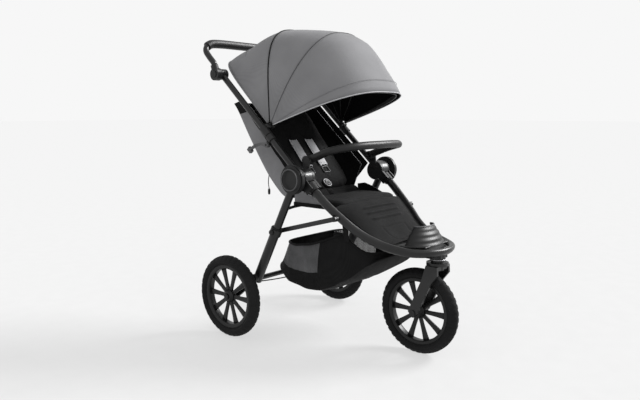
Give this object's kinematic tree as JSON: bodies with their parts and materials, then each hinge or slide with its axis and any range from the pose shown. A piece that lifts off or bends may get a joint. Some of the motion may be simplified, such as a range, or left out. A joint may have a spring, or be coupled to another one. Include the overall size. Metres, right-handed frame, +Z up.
{
  "type": "three-wheeled baby stroller",
  "caption": "Three-wheeled folding stroller with swivelling front wheel, sprung rear wheels, reclining seat, fan canopy, belly bar and underseat basket.",
  "frame": {"origin": "centre of the footprint box, on the ground", "axes": "+Z up, +Y from the front wheel towards the handlebar, +X to the side of the child's left hand"},
  "size_m": [0.661, 0.961, 1.1204],
  "materials": {
    "frame_tube": "satin black powder coat",
    "plastic": "fine-grained black",
    "grip": "stitched black leather-look sleeve",
    "tyre": "moulded tread",
    "rim": "black",
    "grey_cloth": "mid grey woven canvas",
    "black_cloth": "black woven polyester",
    "pad_cloth": "light grey mesh with light piping",
    "basket_cloth": "black cloth with grey mesh",
    "steel": "zinc plated",
    "foam": "stiff board"
  },
  "bodies": {
    "chassis": {"front_frame": "frame_tube", "hub_left": "plastic", "hub_right": "plastic", "hub_cap_left": "plastic", "hub_cap_right": "plastic", "steerer_housing": "plastic", "footrest": "plastic", "calf_panel": "black_cloth", "seat_cushion": "black_cloth", "link_mounts": "plastic", "bar_mount_left": "plastic", "bar_mount_right": "plastic", "basket": "basket_cloth", "buckle": "plastic", "crotch_strap": "black_cloth"},
    "upper_frame": {"upper_tube_left": "frame_tube", "upper_tube_right": "frame_tube", "canopy_pins": "plastic", "canopy_rear": "grey_cloth", "canopy_rib_rear": "frame_tube", "brake_bracket": "plastic"},
    "rear_frame": {"rear_leg_left": "frame_tube", "rear_leg_right": "frame_tube", "axle_bar": "frame_tube", "seat_hoop": "frame_tube", "brake_cable": "plastic"},
    "links": {"lower_links": "frame_tube"},
    "collars": {"leg_collars": "plastic"},
    "backrest": {"backrest_board": "foam", "backrest_pad": "black_cloth", "seat_shell": "grey_cloth", "shoulder_straps": "black_cloth", "shoulder_pads": "pad_cloth", "recline_strap": "black_cloth", "recline_toggle": "plastic"},
    "canopy_middle": {"canopy_mid": "grey_cloth", "canopy_rib_mid": "frame_tube"},
    "canopy_fore": {"canopy_front": "grey_cloth", "canopy_rib_front": "frame_tube"},
    "handle": {"handlebar": "frame_tube", "handle_grip": "grip", "handle_knuckle_left": "plastic", "handle_knuckle_right": "plastic"},
    "button_left": {"handle_button_left": "plastic"},
    "button_right": {"handle_button_right": "plastic"},
    "fork_body": {"fork": "frame_tube", "front_axle": "steel"},
    "front_wheel": {"front_rim": "rim", "front_tyre": "tyre"},
    "lock_pin": {"swivel_lock": "plastic"},
    "arm_left": {"swing_arm_left": "frame_tube"},
    "arm_right": {"swing_arm_right": "frame_tube"},
    "wheel_left": {"rear_rim_left": "rim", "rear_tyre_left": "tyre"},
    "wheel_right": {"rear_rim_right": "rim", "rear_tyre_right": "tyre"},
    "lever": {"brake_lever": "plastic"},
    "bar": {"belly_bar": "grip"},
    "release": {"buckle_button": "plastic"}
  },
  "joints": [
    {"name": "frame_fold", "type": "hinge", "parent": "chassis", "child": "upper_frame", "pos_m": [0, 0.00148, 0.595], "axis": [1, 0, 0], "range_deg": [-120, 0], "deforming": ["backrest_pad", "seat_shell", "shoulder_straps", "shoulder_pads", "basket"]},
    {"name": "rear_leg_fold", "type": "hinge", "parent": "chassis", "child": "rear_frame", "pos_m": [0, 0.00148, 0.595], "axis": [1, 0, 0], "range_deg": [-40.5, 0]},
    {"name": "link_swing", "type": "hinge", "parent": "chassis", "child": "links", "pos_m": [0, -0.14514, 0.4724], "axis": [1, 0, 0], "range_deg": [-61.4, 0]},
    {"name": "collar_slide", "type": "slide", "parent": "rear_frame", "child": "collars", "axis": [0, 0.454, -0.891], "range_m": [0, 0.166]},
    {"name": "backrest_recline", "type": "hinge", "parent": "upper_frame", "child": "backrest", "pos_m": [0, 0.07148, 0.537], "axis": [-1, 0, 0], "range_deg": [0, 50]},
    {"name": "canopy_close", "type": "hinge", "parent": "upper_frame", "child": "canopy_middle", "pos_m": [0, 0.17048, 0.77], "axis": [-1, 0, 0], "range_deg": [0, 26], "deforming": ["canopy_mid", "canopy_front"]},
    {"name": "canopy_fore_close", "type": "hinge", "parent": "canopy_middle", "child": "canopy_fore", "pos_m": [0, 0.17048, 0.77], "axis": [-1, 0, 0], "range_deg": [0, 33]},
    {"name": "handlebar_tilt", "type": "hinge", "parent": "upper_frame", "child": "handle", "pos_m": [0, 0.40152, 0.95773], "axis": [-1, 0, 0], "range_deg": [0, 75]},
    {"name": "handle_button_press_left", "type": "slide", "parent": "handle", "child": "button_left", "axis": [-1, 0, 0], "range_m": [0, 0.0024], "stiffness_N_per_m": 600, "springref_m": -0.003},
    {"name": "handle_button_press_right", "type": "slide", "parent": "handle", "child": "button_right", "axis": [1, 0, 0], "range_m": [0, 0.0024], "stiffness_N_per_m": 600, "springref_m": -0.003},
    {"name": "caster_swivel", "type": "hinge", "parent": "chassis", "child": "fork_body", "pos_m": [0, -0.39952, 0.316], "axis": [0, 0, 1], "continuous": true},
    {"name": "front_wheel_roll", "type": "hinge", "parent": "fork_body", "child": "front_wheel", "pos_m": [0, -0.33252, 0.148], "axis": [1, 0, 0], "continuous": true},
    {"name": "swivel_lock_drop", "type": "slide", "parent": "chassis", "child": "lock_pin", "axis": [0, 0, -1], "range_m": [0, 0.0114]},
    {"name": "suspension_left", "type": "hinge", "parent": "rear_frame", "child": "arm_left", "pos_m": [0.274, 0.18943, 0.22612], "axis": [1, 0, 0], "range_deg": [0, 8], "stiffness_Nm_per_rad": 180, "springref_deg": -6.88},
    {"name": "suspension_right", "type": "hinge", "parent": "rear_frame", "child": "arm_right", "pos_m": [-0.274, 0.18943, 0.22612], "axis": [1, 0, 0], "range_deg": [0, 8], "stiffness_Nm_per_rad": 180, "springref_deg": -6.88},
    {"name": "rear_wheel_roll_left", "type": "hinge", "parent": "arm_left", "child": "wheel_left", "pos_m": [0.3075, 0.28548, 0.15], "axis": [1, 0, 0], "continuous": true},
    {"name": "rear_wheel_roll_right", "type": "hinge", "parent": "arm_right", "child": "wheel_right", "pos_m": [-0.3075, 0.28548, 0.15], "axis": [1, 0, 0], "continuous": true},
    {"name": "brake_lever_squeeze", "type": "hinge", "parent": "upper_frame", "child": "lever", "pos_m": [-0.2235, 0.1622, 0.70431], "axis": [1, 0, 0], "range_deg": [0, 14], "stiffness_Nm_per_rad": 2, "springref_deg": -5.73},
    {"name": "belly_bar_lift", "type": "hinge", "parent": "chassis", "child": "bar", "pos_m": [0, 0.01048, 0.655], "axis": [-1, 0, 0], "range_deg": [0, 35]},
    {"name": "buckle_release", "type": "slide", "parent": "chassis", "child": "release", "axis": [0, 0.6947, -0.7193], "range_m": [0, 0.0025], "stiffness_N_per_m": 400, "springref_m": -0.003}
  ],
  "couplings": [
    {"joint": "rear_leg_fold", "follows": "frame_fold", "ratio": 0.33333},
    {"joint": "link_swing", "follows": "frame_fold", "ratio": 0.50325},
    {"joint": "collar_slide", "follows": "frame_fold", "m_per_rad": -0.078308},
    {"joint": "canopy_fore_close", "follows": "canopy_close", "ratio": 1.25}
  ]
}
